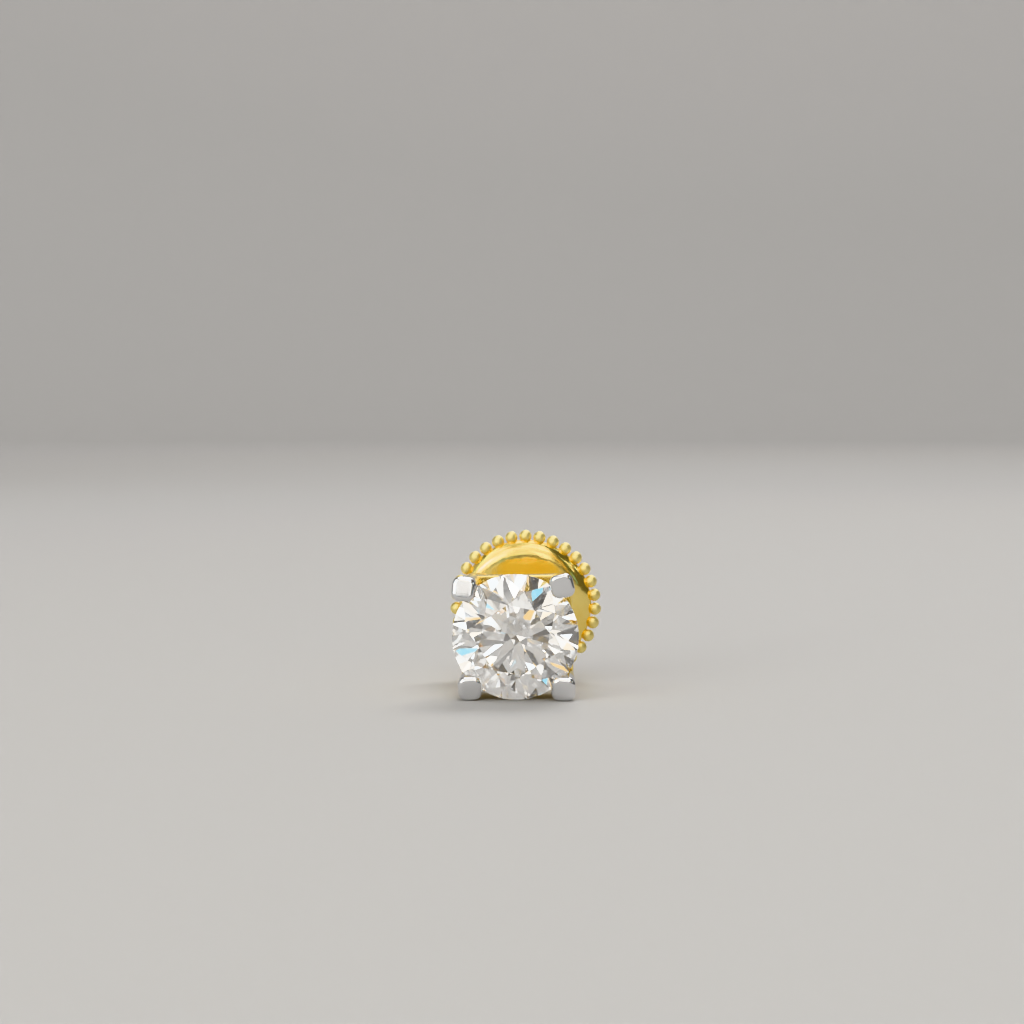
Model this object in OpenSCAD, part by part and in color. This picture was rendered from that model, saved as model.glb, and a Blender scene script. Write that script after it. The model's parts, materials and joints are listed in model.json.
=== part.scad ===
// Diamond stud earring: a round brilliant in a four-prong basket on a threaded post,
// with a round beaded screw back. It rests on its two lower prongs and on the beads of the back.
// All sizes are in millimetres.
//
// The jewel's own frame: z runs along the post towards the viewer of the stone, y is up,
// and the origin is the centre of the girdle. The module resting() lays it on the table.

/* [Stone] */
// Diameter of the girdle
girdle_d = 5.2; // [4.8:0.1:5.6]
// Width of the table as a share of the girdle's diameter
table_share = 0.57; // [0.53:0.01:0.62]
// Slope of the crown's kite facets in degrees
crown_angle = 34.5; // [32:0.5:36]
// Slope of the pavilion's main facets in degrees
pavilion_angle = 40.8; // [40:0.2:42]
// Reach of the star facets from the table towards the girdle, as a share
star_share = 0.5; // [0.4:0.05:0.6]
// Reach of the lower halves from the girdle towards the culet, as a share
lower_share = 0.77; // [0.7:0.01:0.84]
// Thickness of the girdle where it is thinnest
girdle_thin = 0.08; // [0.04:0.01:0.14]
// Turn of the stone in its setting in degrees
stone_roll = 11; // [0:1:44]

/* [Prongs] */
// Width of a prong across its flats
prong_w = 0.98; // [0.8:0.02:1.1]
// Radius of a prong's long edges
prong_round = 0.30; // [0.1:0.02:0.36]
// Bevel round the flat end of a prong
tip_bevel = 0.09; // [0.04:0.01:0.16]
// Height of the flat ends in front of the girdle
tip_z = 0.56; // [0.48:0.02:0.7]
// Gap between the stone and its seats
seat_gap = 0.03; // [0.02:0.01:0.06]

/* [Basket] */
// Half width between the centres of the prongs' feet
foot_reach = 1.72; // [1.6:0.02:1.85]
// Distance of the gallery rail inside the prongs' outer faces
rail_inset = 0.06; // [0.02:0.01:0.12]
// Thickness of the rail's wall
rail_t = 0.38; // [0.25:0.01:0.45]
// Depth of the rail along the post
rail_h = 0.46; // [0.3:0.02:0.6]
// Distance from the girdle back to the middle of the rail
rail_back = 1.22; // [1.1:0.02:1.6]
// Half width of the base plate
base_half = 1.95; // [1.6:0.05:2.1]
// Thickness of the base plate
base_t = 0.42; // [0.3:0.02:0.6]
// Distance from the girdle back to the rear of the base plate
base_back = 2.95; // [2.9:0.05:3.3]

/* [Post] */
// Diameter of the plain shank that passes through the lobe
shank_d = 0.95; // [0.8:0.05:1.1]
// Outer diameter of the thread
thread_d = 0.90; // [0.8:0.05:1.0]
// Depth of the thread
thread_depth = 0.07; // [0.04:0.01:0.1]
// Rise of the thread in one turn
pitch = 0.30; // [0.25:0.01:0.5]
// Length of the plain shank behind the base plate
shank_len = 4.35; // [4:0.05:5]
// Length of the whole post behind the base plate
post_len = 9.6; // [9:0.1:11]

/* [Screw back] */
// Distance from the girdle back to the centres of the beads
back_at = 8.2; // [8.2:0.1:9]
// Number of beads round the rim
beads = 31; // [25:1:33]
// Diameter of the circle through the beads' centres
bead_circle_d = 6.06; // [5.8:0.02:6.4]
// Diameter of a bead
bead_d = 0.54; // [0.46:0.02:0.58]
// Diameter of the plate inside the beads
plate_d = 5.72; // [5.6:0.02:5.8]
// Diameter of the plate's flat face
flat_d = 4.1; // [3.6:0.1:4.6]
// Radius of the shoulder that rolls down to the rim
roll_r = 1.1; // [1:0.05:1.6]
// Height of the flat face in front of the beads' centres
plate_rise = 0.45; // [0.4:0.05:0.6]
// Thickness of the plate
plate_t = 0.36; // [0.3:0.02:0.45]
// Outer diameter of the tube
tube_d = 1.9; // [1.7:0.05:2.2]
// Length of the tube behind the beads' centres
tube_len = 2.6; // [2:0.1:3]
// Outer diameter of the threaded sleeve in the tube
sleeve_d = 1.3; // [1.2:0.01:1.35]
// Gap at the radius between parts that turn or slide on each other
running_gap = 0.025; // [0.015:0.005:0.05]

/* [Hidden] */
$fn = 96;

gold = [0.93, 0.70, 0.25];
pale_gold = [0.88, 0.66, 0.27];
stone_white = [0.93, 0.95, 0.98];

// Centres of the prongs' flat ends as shares of the girdle's radius, clockwise seen from the front.
// They were bent over the stone by hand, so they aren't quite regular.
TIP_X = 0;
TIP_Y = 1;
prong_tips = [
    [-0.808, 0.788],
    [0.745, 0.845],
    [0.765, -0.802],
    [-0.715, -0.802],
];

// Stone
girdle_r = girdle_d / 2;
mains = 8;
main_step = 360 / mains;
half_step = main_step / 2;
arc_steps = 4;
halves = 2 * mains;
girdle_points = halves * arc_steps;
table_r = table_share * girdle_r;
star_r = let (table_flat = table_r * cos(half_step)) table_flat + star_share * (girdle_r - table_flat);
lower_r = (1 - lower_share) * girdle_r;
// The half facets cut scallops in the girdle, so it is thicker where their corners meet it
scallop = girdle_r * (1 - cos(half_step / 2)) * tan(crown_angle + 6);
girdle_z = girdle_thin / 2 + scallop;
star_z = girdle_z + (girdle_r - star_r * cos(half_step)) * tan(crown_angle);
table_z = girdle_z + (girdle_r - table_r) * tan(crown_angle);
lower_z = -girdle_z - (girdle_r - lower_r * cos(half_step)) * tan(pavilion_angle);
culet_z = -girdle_z - girdle_r * tan(pavilion_angle);

function ring_point(r, angle, z) = [r * cos(angle), r * sin(angle), z];

// Height at the point at of the plane through three corners
function plane_height(a, b, c, at) =
    let (n = cross(b - a, c - a))
    a.z - (n.x * (at.x - a.x) + n.y * (at.y - a.y)) / n.z;

// Point number j of the girdle's upper (side 1) or lower (side -1) edge
function girdle_point(j, side, inner_r, inner_z) =
    let (
        half = floor(j / arc_steps),
        angle = j * half_step / arc_steps,
        inner_angle = half_step * (half + 1 - half % 2),
        start = ring_point(girdle_r, half * half_step, side * girdle_z),
        end = ring_point(girdle_r, (half + 1) * half_step, side * girdle_z),
        inner = ring_point(inner_r, inner_angle, inner_z),
        flat = ring_point(girdle_r, angle, 0)
    )
    [flat.x, flat.y, plane_height(start, end, inner, flat)];

stone_points = concat(
    [for (k = [0 : mains - 1]) ring_point(table_r, k * main_step, table_z)],
    [for (k = [0 : mains - 1]) ring_point(star_r, k * main_step + half_step, star_z)],
    [for (j = [0 : girdle_points - 1]) girdle_point(j, 1, star_r, star_z)],
    [for (j = [0 : girdle_points - 1]) girdle_point(j, -1, lower_r, lower_z)],
    [for (k = [0 : mains - 1]) ring_point(lower_r, k * main_step + half_step, lower_z)],
    [[0, 0, culet_z]]
);
first_star = mains;
first_upper = first_star + mains;
first_under = first_upper + girdle_points;
first_lower = first_under + girdle_points;
culet = first_lower + mains;

// The star or lower corner that a half facet ends in
function inner_corner(half) = floor(half / 2) % mains;
// The girdle points along a half facet
function arc_of(first, half) = [for (i = [0 : arc_steps]) first + (half * arc_steps + i) % girdle_points];
function backwards(list) = [for (i = [len(list) - 1 : -1 : 0]) list[i]];

stone_faces = concat(
    [[for (k = [mains - 1 : -1 : 0]) k]],
    [for (k = [0 : mains - 1]) [k, (k + 1) % mains, first_star + k]],
    [for (k = [0 : mains - 1])
        [k, first_star + k, first_upper + k * 2 * arc_steps, first_star + (k + mains - 1) % mains]],
    [for (h = [0 : halves - 1]) concat([first_star + inner_corner(h)], backwards(arc_of(first_upper, h)))],
    [for (j = [0 : girdle_points - 1])
        let (next = (j + 1) % girdle_points)
        [first_under + j, first_upper + j, first_upper + next, first_under + next]],
    [for (h = [0 : halves - 1]) concat([first_lower + inner_corner(h)], arc_of(first_under, h))],
    [for (k = [0 : mains - 1])
        [culet, first_lower + (k + mains - 1) % mains, first_under + k * 2 * arc_steps, first_lower + k]]
);

// Post and screw back
shank_r = shank_d / 2;
thread_r = thread_d / 2;
post_end = -(base_back + post_len);
shank_end = -(base_back + shank_len);
end_bevel = 0.12;
thread_turns = floor((shank_end - post_end - end_bevel) / pitch);
bead_r = bead_d / 2;
bead_ring = bead_circle_d / 2;
plate_r = plate_d / 2;
roll_angle = asin((plate_r - flat_d / 2) / roll_r);
rim_z = plate_rise - roll_r * (1 - cos(roll_angle));
rim_depth = 0.28;
sleeve_r = sleeve_d / 2;
sleeve_inset = 0.05;

// Rest: the tilt at which the lower prongs and the two lowest beads touch the table together
contact_z = tip_z - tip_bevel;
prong_reach = -prong_tips[2][TIP_Y] * girdle_r + prong_w / 2;
low_bead_y = bead_ring * cos(180 / beads);
rest_run = back_at + contact_z;
rest_drop = low_bead_y - prong_reach;
rest_tilt = atan2(rest_drop, rest_run) + asin(bead_r / norm([rest_run, rest_drop]));
rest_lift = prong_reach * cos(rest_tilt) + contact_z * sin(rest_tilt);
// The foremost point is the highest corner of the table, and the rearmost the lower edge of the post's end
table_high = max([for (k = [0 : mains - 1]) table_r * sin(k * main_step + stone_roll)]);
front_y = -table_high * sin(rest_tilt) - table_z * cos(rest_tilt);
rear_y = (thread_r - end_bevel) * sin(rest_tilt) - post_end * cos(rest_tilt);

// Moves a shape from the jewel's own frame to where it rests, centred over the origin
module resting() {
    translate([0, -(front_y + rear_y) / 2, rest_lift])
        rotate([90 + rest_tilt, 0, 0])
            children();
}

module rounded_square(w, r) {
    square([w, w - 2 * r], center = true);
    square([w - 2 * r, w], center = true);
    for (x = [-1, 1], y = [-1, 1])
        translate([x, y] * (w / 2 - r))
            circle(r);
}

// A shape of revolution that holds the stone: the seats are cut with it
module stone_envelope() {
    rotate_extrude()
        polygon([
            [0, culet_z],
            [lower_r, lower_z],
            [girdle_r, -girdle_z],
            [girdle_r, girdle_z],
            [star_r, star_z],
            [table_r, table_z],
            [0, table_z],
        ]);
}

// A wedge-ended slab that bevels two opposite edges of a prong's end and trims its foot
module bevel_slab() {
    reach = base_back + tip_z;
    flat = prong_w / 2 - tip_bevel;
    rotate([90, 0, 0])
        linear_extrude(2 * girdle_d, center = true)
            polygon([[-flat, 0], [flat, 0], [flat + reach, -reach], [-flat - reach, -reach]]);
}

// A prong leans out in a straight line from its foot on the base plate to its end over the girdle
function prong_foot(tip) = [foot_reach * sign(tip[TIP_X]), foot_reach * sign(tip[TIP_Y]), -base_back];
function prong_end(tip) = [tip[TIP_X] * girdle_r, tip[TIP_Y] * girdle_r, tip_z];
function prong_centre(tip, z) =
    let (share = (z + base_back) / (tip_z + base_back))
    prong_foot(tip) + share * (prong_end(tip) - prong_foot(tip));

module prong(tip) {
    foot = prong_foot(tip);
    end = prong_end(tip);
    lean = end - foot;
    spare = 1;
    intersection() {
        translate(foot)
            rotate([-asin(lean.y / norm(lean)), atan2(lean.x, lean.z), 0])
                translate([0, 0, -spare])
                    linear_extrude(norm(lean) + 2 * spare)
                        rounded_square(prong_w, prong_round);
        translate(end)
            bevel_slab();
        translate(end)
            rotate([0, 0, 90])
                bevel_slab();
    }
}

// A bar of the gallery rail between the middles of two neighbouring prongs
module rail_bar(from, to) {
    start = prong_centre(from, -rail_back);
    run = prong_centre(to, -rail_back) - start;
    translate(start)
        rotate([0, 0, atan2(run.y, run.x)])
            translate([0, prong_w / 2 - rail_inset - rail_t, -rail_h / 2])
                cube([norm(run), rail_t, rail_h]);
}

module gallery_rail() {
    last = len(prong_tips) - 1;
    for (i = [0 : last])
        rail_bar(prong_tips[i], prong_tips[i == last ? 0 : i + 1]);
}

module base_plate() {
    translate([0, 0, -base_back])
        linear_extrude(base_t)
            rounded_square(2 * base_half, prong_round);
}

// Plain shank, then the thread's sharp grooves down to the bevelled end
module post() {
    root_r = thread_r - thread_depth;
    buried = -base_back + base_t / 2;
    rotate_extrude()
        polygon(concat(
            [[0, buried], [shank_r, buried], [shank_r, shank_end]],
            [for (i = [0 : thread_turns - 1])
                let (z = shank_end - i * pitch)
                each [[root_r, z - pitch / 2], [thread_r, z - pitch]]],
            [[thread_r - end_bevel, post_end], [0, post_end]]
        ));
}

module diamond() {
    color(stone_white)
        resting()
            rotate([0, 0, stone_roll])
                polyhedron(stone_points, stone_faces);
}

module setting() {
    color(gold)
        resting() {
            difference() {
                union() {
                    for (tip = prong_tips)
                        prong(tip);
                    gallery_rail();
                    base_plate();
                }
                scale(1 + seat_gap / girdle_r)
                    stone_envelope();
            }
            post();
        }
}

// Section of the plate: a flat face, a rolled shoulder and a short rim
module plate_section() {
    flat_r = flat_d / 2;
    translate([0, plate_rise - plate_t])
        square([flat_r, plate_t]);
    translate([flat_r, plate_rise - roll_r])
        intersection() {
            difference() {
                circle(roll_r);
                circle(roll_r - plate_t);
            }
            polygon([
                [0, 0],
                [0, 2 * roll_r],
                [2 * roll_r * sin(roll_angle), 2 * roll_r],
                [2 * roll_r * sin(roll_angle), 2 * roll_r * cos(roll_angle)],
            ]);
        }
    translate([plate_r - plate_t, rim_z - rim_depth])
        square([plate_t, rim_depth]);
}

module screw_back() {
    color(pale_gold)
        resting()
            translate([0, 0, -back_at])
                difference() {
                    union() {
                        rotate_extrude()
                            plate_section();
                        for (i = [0 : beads - 1])
                            rotate([0, 0, 90 + i * 360 / beads])
                                translate([bead_ring, 0, 0])
                                    sphere(bead_r);
                        translate([0, 0, -tube_len])
                            cylinder(h = tube_len + plate_rise - plate_t / 2, d = tube_d);
                    }
                    translate([0, 0, -tube_len - 1])
                        cylinder(h = tube_len + plate_rise + 2, r = sleeve_r + running_gap);
                }
}

module back_thread() {
    color(pale_gold)
        resting()
            translate([0, 0, -back_at - tube_len + sleeve_inset])
                difference() {
                    cylinder(h = tube_len + plate_rise - 2 * sleeve_inset, r = sleeve_r);
                    translate([0, 0, -1])
                        cylinder(h = tube_len + plate_rise + 2, r = thread_r + running_gap);
                }
}

diamond();
setting();
screw_back();
back_thread();
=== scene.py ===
# %% [markdown]
# # A diamond stud earring with a beaded screw back
#
# The earring stands on a pale table by itself, on its two lower prongs and on the beads of its back. A stud
# like this is made of a round brilliant, a cast basket with four prongs, a post that is soldered to it, and
# a round back that screws along the post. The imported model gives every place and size. This script gives
# the looks: the cut stone's fire, polished gold, white plated prong tips, the helical thread and the
# granulated rim.

# %% Load the frame
import json
import math
import random

import bmesh
import bpy
from mathutils import Euler, Matrix, Vector


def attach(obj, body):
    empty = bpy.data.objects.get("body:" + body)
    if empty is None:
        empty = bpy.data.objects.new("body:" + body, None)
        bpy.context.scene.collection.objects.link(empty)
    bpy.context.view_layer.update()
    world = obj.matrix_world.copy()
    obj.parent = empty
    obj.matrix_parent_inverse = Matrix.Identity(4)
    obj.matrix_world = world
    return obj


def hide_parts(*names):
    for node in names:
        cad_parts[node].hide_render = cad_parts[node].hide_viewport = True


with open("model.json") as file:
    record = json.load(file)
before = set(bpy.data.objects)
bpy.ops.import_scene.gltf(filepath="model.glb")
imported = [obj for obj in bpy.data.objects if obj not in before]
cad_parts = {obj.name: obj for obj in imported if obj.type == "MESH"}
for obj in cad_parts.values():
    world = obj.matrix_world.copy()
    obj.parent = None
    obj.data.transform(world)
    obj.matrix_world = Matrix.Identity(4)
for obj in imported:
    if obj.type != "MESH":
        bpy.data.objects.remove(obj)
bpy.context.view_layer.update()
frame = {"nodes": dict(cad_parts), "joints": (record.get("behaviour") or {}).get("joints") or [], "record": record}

MM = 0.001

# %% [markdown]
# ## The jewel's own frame
#
# Every piece of a stud is built round one line, the axis of its post. It would be awkward to model on a
# slope, so the pieces are made straight, in millimetres: Z runs along the post towards whoever looks at the
# stone, Y is up, and the origin is the middle of the girdle. A matrix then lays each mesh where the earring
# rests. It is worked out from the frame: the slide joint gives the post's direction, and the ear post's
# mount gives a point on it.

# %% From the jewel's frame to the table
MOUNT_BACK = 5.15 * MM  # from the middle of the girdle back to the ear post's mount

slide = next(joint for joint in frame["joints"] if joint["name"] == "back_travel")
post_axis = Vector(slide["axis"]).normalized()
ear_mount = Vector(frame["record"]["mounts"][0]["pos_m"])
girdle_centre = ear_mount - MOUNT_BACK * post_axis
tilt = math.asin(post_axis.z)
upright = math.radians(90) + tilt
to_table = Matrix.Translation(girdle_centre) @ Matrix.Rotation(upright, 4, "X") @ Matrix.Scale(MM, 4)
print("the post rises", round(math.degrees(tilt), 2), "degrees")
print("the girdle is", round(girdle_centre.z / MM, 2), "mm up")

# %% [markdown]
# ## The camera
#
# The picture is taken from close by and almost level with the table, a little to the right of the stone,
# with a long lens. The stone sits below the middle of the picture, because the camera looks slightly over
# it. The place of the stone in the picture is turned into two small angles, so that neither shift nor roll
# is needed.

# %% Place the camera
PICTURE = 1024  # the picture's side, in pixels
SENSOR = 36.0
FOCAL_PX = 2929.0  # the focal length, in pixels of the picture
CAMERA_FAR = 120 * MM  # from the middle of the girdle
CAMERA_UP = math.radians(5.18)
CAMERA_RIGHT = math.radians(3.12)
STONE_PX = (515.5, 637.0)  # where the middle of the girdle falls in the picture
NEAREST = 1 * MM  # what the camera sees starts here
FARTHEST = 5.0  # and ends here

camera_back = Vector((
    math.sin(CAMERA_RIGHT) * math.cos(CAMERA_UP),
    -math.cos(CAMERA_RIGHT) * math.cos(CAMERA_UP),
    math.sin(CAMERA_UP),
))
look_down = CAMERA_UP - math.atan((STONE_PX[1] - PICTURE / 2) / FOCAL_PX)
look_left = CAMERA_RIGHT + math.atan((STONE_PX[0] - PICTURE / 2) / FOCAL_PX)

camera = bpy.data.objects.new("camera", bpy.data.cameras.new("camera"))
bpy.context.scene.collection.objects.link(camera)
bpy.context.scene.camera = camera
camera.location = girdle_centre + CAMERA_FAR * camera_back
camera.rotation_euler = Euler((math.radians(90) - look_down, 0, look_left))
camera.data.sensor_width = SENSOR
camera.data.lens = SENSOR * FOCAL_PX / PICTURE
camera.data.clip_start = NEAREST
camera.data.clip_end = FARTHEST
print("lens", round(camera.data.lens, 1), "mm; looks down", round(math.degrees(look_down), 2), "degrees")

# %% [markdown]
# ## Sums of sockets
#
# A procedural material is a sum: a pattern times a colour plus another pattern. Written node by node such a
# sum is hard to read. The class below wraps a socket, so that `1 - mask * 0.5` in Python adds the Math nodes
# that work it out. Its method `node` adds any node: the kind, then its settings, then what goes in its
# sockets. It works in shader trees and in Geometry Nodes trees alike.

# %% A class for sums of sockets
class Wire:
    """A socket of a node tree that takes part in Python sums. Without a socket it only adds nodes."""

    def __init__(self, tree, socket=None):
        self.tree = tree
        self.socket = socket

    def node(self, kind, settings=None, inputs=None, output=0):
        """Adds a node and returns a wire from one of its outputs."""
        made = self.tree.nodes.new(kind)
        for name, value in (settings or {}).items():
            setattr(made, name, value)
        for key, value in (inputs or {}).items():
            if isinstance(value, Wire):
                self.tree.links.new(value.socket, made.inputs[key])
            else:
                made.inputs[key].default_value = value
        return Wire(self.tree, made.outputs[output]) if made.outputs else Wire(self.tree)

    def math(self, operation, *values):
        """Adds a Math node that works on these wires and numbers."""
        return self.node("ShaderNodeMath", {"operation": operation}, dict(enumerate(values)))

    def __add__(self, other):
        return self.math("ADD", self, other)

    def __sub__(self, other):
        return self.math("SUBTRACT", self, other)

    def __rsub__(self, other):
        return self.math("SUBTRACT", other, self)

    def __mul__(self, other):
        return self.math("MULTIPLY", self, other)

    def __truediv__(self, other):
        return self.math("DIVIDE", self, other)

    __radd__ = __add__
    __rmul__ = __mul__

    def ease(self, low, high, from_value=0.0, to_value=1.0):
        """Goes smoothly from from_value at low to to_value at high, and stays there outside."""
        return self.node(
            "ShaderNodeMapRange",
            {"interpolation_type": "SMOOTHSTEP"},
            {"Value": self, "From Min": low, "From Max": high, "To Min": from_value, "To Max": to_value},
        )

    def blend(self, first, second):
        """A colour: the first where this wire is 0 and the second where it is 1."""
        # A Mix node has sockets for each kind of value. Inputs 6 and 7 and output 2 are the colours'.
        return self.node("ShaderNodeMix", {"data_type": "RGBA"}, {0: self, 6: first, 7: second}, output=2)


# %% [markdown]
# ## Where a point of the metal is
#
# Patterns on this jewel follow its own frame: plating covers the ends of the prongs, and the groove of the
# rim runs round the post. The Texture Coordinate node gives the place on the table, in metres. A Mapping
# node of the kind Texture undoes the slope and the scale, and so gives millimetres in the jewel's frame.

# %% Start a material
def new_material(name):
    """A material with an empty tree. Returns the material, its pen, and the place in the jewel's frame."""
    material = bpy.data.materials.new(name)
    material.use_nodes = True
    material.node_tree.nodes.clear()
    pen = Wire(material.node_tree)
    table_place = pen.node("ShaderNodeTexCoord", output="Object")
    undo_slope = {"Location": girdle_centre, "Rotation": (upright, 0, 0), "Scale": (MM, MM, MM)}
    place = pen.node("ShaderNodeMapping", {"vector_type": "TEXTURE"}, {"Vector": table_place, **undo_slope})
    return material, pen, place


def noise(place, scale, detail=2.0, roughness=0.5):
    """Noise with about as many grains to the unit of the place as its scale says."""
    inputs = {"Vector": place, "Scale": scale, "Detail": detail, "Roughness": roughness}
    return place.node("ShaderNodeTexNoise", None, inputs)


def parts_of(place):
    """The X, Y and Z of a place."""
    return [place.node("ShaderNodeSeparateXYZ", None, {0: place}, output=k) for k in range(3)]


# %% [markdown]
# ## Polished gold
#
# Yellow gold is a plain metal to a renderer: its colour is all in its reflection. What makes it look real
# is how unevenly it is polished. A basket of this size is finished by hand with felt and thread, so its
# faces ripple a little, fine hairlines run down them, and the polish is never even. The colour changes very
# little.

# %% Colours and polish of the metal
GOLD = (1.0, 0.795, 0.29, 1)
DEEP_GOLD = (0.98, 0.73, 0.23, 1)
PALE_GOLD = (1.0, 0.85, 0.37, 1)
# the frosted rear face's gold, painted paler: a painted light that brightens the rear face and its reflection in
# the back's face
PAINTED_PALE_FROSTED_GOLD = (1.0, 0.85, 0.47, 1)
RHODIUM = (0.80, 0.80, 0.81, 1)
DEEP_PATCHES = (0.35, 0.75)  # the noise values between which gold turns to deep gold
HAIRLINE_SQUEEZE = (1.0, 0.12, 0.5)  # this draws the noise out upwards, so hairlines run up and down


def polish(place, ripple=0.012, wobble=0.0015, hairline=0.0012):
    """The height of hand-polished metal in millimetres: long ripples, short wobbles and fine hairlines."""
    ripples = noise(place, scale=0.8, detail=1.0)
    wobbles = noise(place, scale=2.6, detail=1.0)
    drawn_out = place.node("ShaderNodeMapping", None, {"Vector": place, "Scale": HAIRLINE_SQUEEZE})
    hairlines = noise(drawn_out, scale=38.0, detail=3.0, roughness=0.7)
    return ripples * ripple + wobbles * wobble + hairlines * hairline


def yellow_gold(clouds):
    """Gold that is a little deeper in soft patches."""
    return clouds.ease(*DEEP_PATCHES).blend(GOLD, DEEP_GOLD)


def finish_metal(material, pen, colour, roughness, height):
    """Ends a metal's tree in a Principled shader. The height is in millimetres."""
    normal = pen.node("ShaderNodeBump", None, {"Strength": 1.0, "Distance": MM, "Height": height})
    shader = pen.node(
        "ShaderNodeBsdfPrincipled",
        None,
        {"Base Color": colour, "Metallic": 1.0, "Roughness": roughness, "Normal": normal},
    )
    pen.node("ShaderNodeOutputMaterial", None, {"Surface": shader})
    return material


# %% [markdown]
# The basket and the post are one metal with three finishes. The ends of the prongs are plated white, and the
# plating ends in a soft, slightly wandering line behind the girdle. The rear face of the base plate keeps
# the frosted finish of the casting, because nobody sees it. Its gold is also painted paler there, a painted
# light that brightens the rear face and its reflection in the back's face. The rest is polished. Masks along
# the post's axis say where each finish is, so one material serves the whole soldered piece.

# %% Gold of the setting
BASE_Z = -2.95  # the rear face of the base plate
PLATING_END = (-0.42, -0.12)  # the white fades out along the prongs between these heights
PLATING_WANDER = 0.12  # how far the plating's edge strays
FROST_FRONT = (0.02, 0.07)  # the frost ends between these heights over the rear face
FROST_REAR = (-0.25, -0.03)  # the frosted finish and its painted paler colour end between these heights over the rear face
SETTING_ROUGHNESS = {"polish": 0.07, "clouds": 0.08, "grain": 0.06, "frost_and_painted_light": 0.42}


def make_setting_gold():
    """Polished yellow gold with white plating on the prongs' ends and a frosted rear face painted paler as painted
    light.
    """
    material, pen, place = new_material("setting_gold")
    z = parts_of(place)[2]
    clouds = noise(place, scale=1.6, detail=3.0)
    grain = noise(place, scale=22.0, detail=4.0, roughness=0.75)
    white = (z + (clouds - 0.5) * PLATING_WANDER).ease(*PLATING_END)
    front = z.ease(BASE_Z + FROST_FRONT[0], BASE_Z + FROST_FRONT[1], 1.0, 0.0)
    rear = z.ease(BASE_Z + FROST_REAR[0], BASE_Z + FROST_REAR[1])
    frost_and_painted_light = front * rear
    # where the frosted mask is, the gold is painted paler, a painted light that brightens the rear face and its
    # reflection in the back's face
    colour = white.blend(frost_and_painted_light.blend(yellow_gold(clouds), PAINTED_PALE_FROSTED_GOLD), RHODIUM)
    rough = SETTING_ROUGHNESS
    roughness = rough["polish"] + clouds * rough["clouds"] + grain * rough["grain"] + frost_and_painted_light * rough["frost_and_painted_light"]
    return finish_metal(material, pen, colour, roughness, polish(place))


setting_gold = make_setting_gold()
print("made", setting_gold.name)

# %% [markdown]
# The back is polished on its face, but the little beads of its rim are left as they were made, softer and
# paler. The groove between the rim and the beads can't be reached with a brush, so it is dull and its colour
# is deep. The tube still has the fine rings that the lathe left on it.

# %% Gold of the screw back
BEAD_RING_R = 3.03
BEAD_R = 0.27
PLATE_R = 2.86
BACK_Z = -8.2  # the height of the beads' middles
BEAD_EDGE = 0.04  # half the width of the step from the plate's finish to the beads'
GROOVE = (0.10, 0.12)  # how far the dull groove reaches inwards and outwards from the plate's rim
LATHE_FRONT = (-0.25, -0.05)  # the lathe's rings end between these heights over BACK_Z
LATHE_EDGE = (1.0, 1.2)  # and between these radii
LATHE_SQUEEZE = (0.2, 0.2, 1.0)  # this draws the noise out across the tube, so that it makes rings
LATHE_HEIGHT = 0.004
BACK_ROUGHNESS = {"polish": 0.08, "clouds": 0.06, "grain": 0.05, "bead": 0.36, "groove": 0.12, "tube": 0.10}


def make_back_gold():
    """Bright gold on the plate, satin pale gold on the beads, a dull groove between, rings on the tube."""
    material, pen, place = new_material("back_gold")
    x, y, z = parts_of(place)
    radius = pen.math("SQRT", x * x + y * y)
    bead = radius.ease(PLATE_R - BEAD_EDGE, PLATE_R + BEAD_EDGE)
    groove = radius.ease(PLATE_R - GROOVE[0], PLATE_R) - radius.ease(PLATE_R, PLATE_R + GROOVE[1])
    behind_plate = z.ease(BACK_Z + LATHE_FRONT[0], BACK_Z + LATHE_FRONT[1], 1.0, 0.0)
    tube = behind_plate * radius.ease(*LATHE_EDGE, 1.0, 0.0)
    drawn_out = pen.node("ShaderNodeMapping", None, {"Vector": place, "Scale": LATHE_SQUEEZE})
    rings = noise(drawn_out, scale=26.0, detail=3.0, roughness=0.6)
    clouds = noise(place, scale=1.4, detail=3.0)
    grain = noise(place, scale=16.0, detail=4.0, roughness=0.7)
    colour = groove.blend(bead.blend(yellow_gold(clouds), PALE_GOLD), DEEP_GOLD)
    rough = BACK_ROUGHNESS
    roughness = rough["polish"] + clouds * rough["clouds"] + grain * rough["grain"]
    roughness = roughness + bead * rough["bead"] + groove * rough["groove"] + tube * rough["tube"]
    height = polish(place, ripple=0.020, wobble=0.006) + rings * tube * LATHE_HEIGHT
    return finish_metal(material, pen, colour, roughness, height)


back_gold = make_back_gold()
print("made", back_gold.name)

# %% [markdown]
# ## The diamond
#
# A brilliant is cut so that nearly all light that enters the front is thrown back out of it. That needs no
# trick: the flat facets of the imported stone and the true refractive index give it, as long as the renderer
# follows a ray through many bounces.

# %% Material of the stone
DIAMOND_INDEX = 2.418


def make_diamond():
    """Clear glass with a diamond's refractive index."""
    material, pen, _ = new_material("diamond_fire")
    shader = pen.node(
        "ShaderNodeBsdfPrincipled",
        None,
        {"Base Color": (1, 1, 1, 1), "Roughness": 0.0, "IOR": DIAMOND_INDEX, "Transmission Weight": 1.0},
    )
    pen.node("ShaderNodeOutputMaterial", None, {"Surface": shader})
    return material


diamond_fire = make_diamond()
diamond = frame["nodes"]["diamond"]
diamond.data.materials.clear()
diamond.data.materials.append(diamond_fire)
print("the stone has", len(diamond.data.polygons), "triangles")

# %% [markdown]
# ## Building closed solids
#
# The prongs and the base plate have the same section in other sizes, a square with rounded corners. A loft
# joins a row of such sections into a closed solid, and a lathe turns a profile round the post. Solids made
# like this have even faces with no gaps, which the booleans below need.

# %% Sections
CORNER_STEPS = 8


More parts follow.
